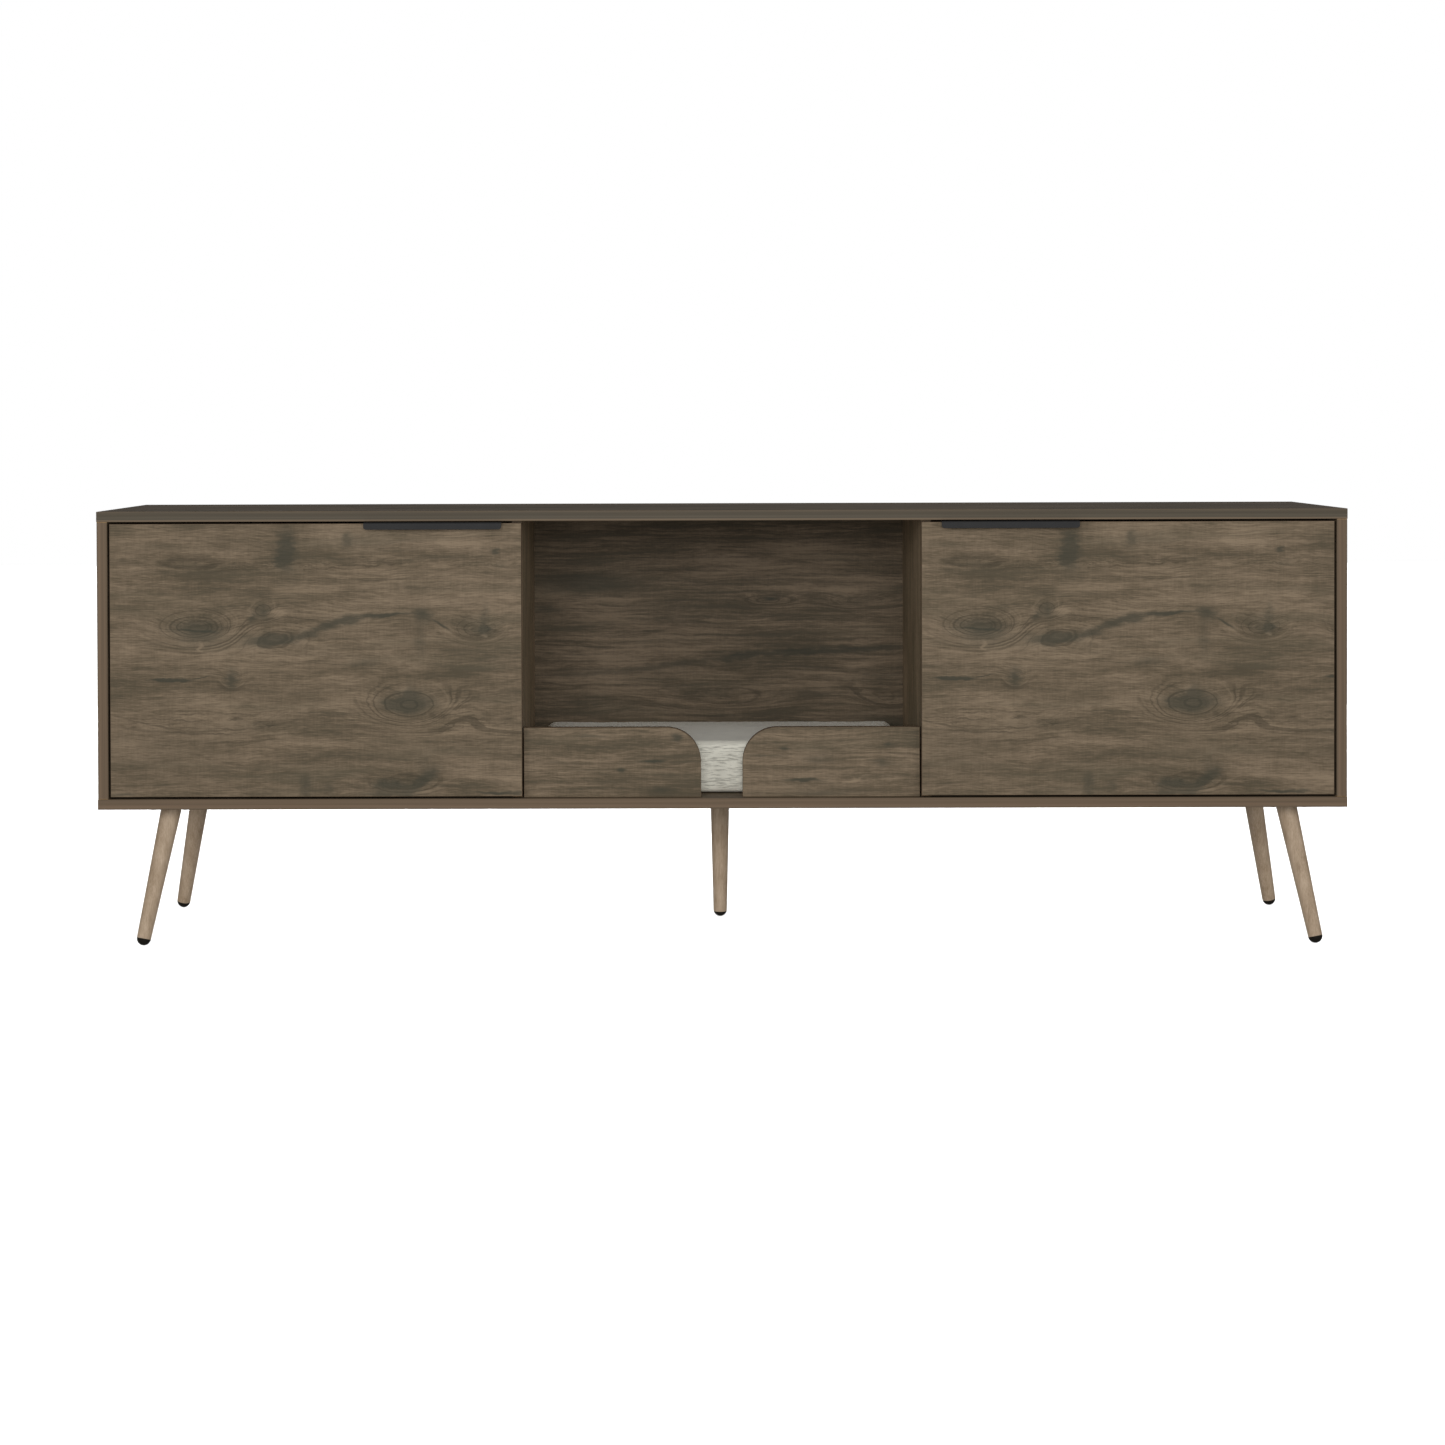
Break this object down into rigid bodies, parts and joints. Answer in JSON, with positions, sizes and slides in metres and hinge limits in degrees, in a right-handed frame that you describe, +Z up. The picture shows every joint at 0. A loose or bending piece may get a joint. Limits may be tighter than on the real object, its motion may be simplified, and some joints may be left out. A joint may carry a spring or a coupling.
{
  "type": "tv stand with doors",
  "caption": "Long low TV stand with two hinged doors, an open centre bay with a cushioned pet bed behind split low rails, and splayed tapered legs.",
  "frame": {"origin": "on the floor under the middle of the cabinet", "axes": "+X to the right seen from the front, +Y from the doors to the back, +Z up"},
  "size_m": [1.8, 0.412, 0.63],
  "materials": {
    "door_wood": "rustic brown oak laminate, matt",
    "carcass_wood": "rustic brown oak laminate with matching edging, matt",
    "top_wood": "rustic brown oak laminate, matt",
    "back_board": "laminated hardboard, matt",
    "leg_oak": "turned light oak, matt",
    "foot_plastic": "black domed glide",
    "pull_metal": "charcoal powder coat",
    "hinge_nickel": "nickel-plated pressed steel",
    "fitting_zinc": "zinc-plated steel",
    "cushion_fabric": "off-white brushed pile fabric over foam",
    "dowel_beech": "fluted beech, bare",
    "bumper_plastic": "clear soft door buffer"
  },
  "bodies": {
    "cabinet": {"top_panel": "top_wood", "base_panel": "carcass_wood", "left_side_panel": "carcass_wood", "right_side_panel": "carcass_wood", "left_divider": "carcass_wood", "right_divider": "carcass_wood", "left_back_panel": "back_board", "centre_back_panel": "back_board", "right_back_panel": "back_board", "left_shelf": "carcass_wood", "right_shelf": "carcass_wood", "left_shelf_pins": "fitting_zinc", "right_shelf_pins": "fitting_zinc", "left_bumpers": "bumper_plastic", "right_bumpers": "bumper_plastic", "left_hinge_arms": "hinge_nickel", "right_hinge_arms": "hinge_nickel", "left_arm_pins": "fitting_zinc", "right_arm_pins": "fitting_zinc", "left_hinge_plates": "hinge_nickel", "right_hinge_plates": "hinge_nickel", "left_hinge_screws": "fitting_zinc", "right_hinge_screws": "fitting_zinc", "left_bed_rail": "carcass_wood", "right_bed_rail": "carcass_wood", "bed_rail_screws": "fitting_zinc", "front_left_leg": "leg_oak", "front_right_leg": "leg_oak", "rear_left_leg": "leg_oak", "rear_right_leg": "leg_oak", "centre_leg": "leg_oak", "front_left_foot_cap": "foot_plastic", "front_right_foot_cap": "foot_plastic", "rear_left_foot_cap": "foot_plastic", "rear_right_foot_cap": "foot_plastic", "centre_foot_cap": "foot_plastic", "leg_plates": "fitting_zinc", "leg_bolts": "fitting_zinc", "leg_plate_screws": "fitting_zinc", "dowels": "dowel_beech", "cam_bolts": "fitting_zinc", "cam_locks": "fitting_zinc", "carcass_screws": "fitting_zinc"},
    "left_hinge_links": {"left_hinge_links": "hinge_nickel"},
    "right_hinge_links": {"right_hinge_links": "hinge_nickel"},
    "left_door": {"left_door": "door_wood", "left_pull": "pull_metal", "left_pull_screws": "fitting_zinc", "left_hinge_cups": "hinge_nickel", "left_cup_pins": "fitting_zinc", "left_cup_screws": "fitting_zinc"},
    "right_door": {"right_door": "door_wood", "right_pull": "pull_metal", "right_pull_screws": "fitting_zinc", "right_hinge_cups": "hinge_nickel", "right_cup_pins": "fitting_zinc", "right_cup_screws": "fitting_zinc"},
    "cushion": {"cushion": "cushion_fabric"}
  },
  "joints": [
    {"name": "left_link_turn", "type": "hinge", "parent": "cabinet", "child": "left_hinge_links", "pos_m": [-0.8465, -0.1615, 0.415], "axis": [0, 0, 1], "range_deg": [0, 50]},
    {"name": "left_door_swing", "type": "hinge", "parent": "left_hinge_links", "child": "left_door", "pos_m": [-0.8685, -0.1865, 0.415], "axis": [0, 0, -1], "range_deg": [0, 150]},
    {"name": "right_link_turn", "type": "hinge", "parent": "cabinet", "child": "right_hinge_links", "pos_m": [0.8465, -0.1615, 0.415], "axis": [0, 0, -1], "range_deg": [0, 50]},
    {"name": "right_door_swing", "type": "hinge", "parent": "right_hinge_links", "child": "right_door", "pos_m": [0.8685, -0.1865, 0.415], "axis": [0, 0, 1], "range_deg": [0, 150]},
    {"name": "cushion_lift_out", "type": "slide", "parent": "cabinet", "child": "cushion", "axis": [0, 0, 1], "range_m": [0, 0.2]}
  ],
  "couplings": [
    {"joint": "left_link_turn", "follows": "left_door_swing", "ratio": 0.33333},
    {"joint": "right_link_turn", "follows": "right_door_swing", "ratio": 0.33333}
  ]
}
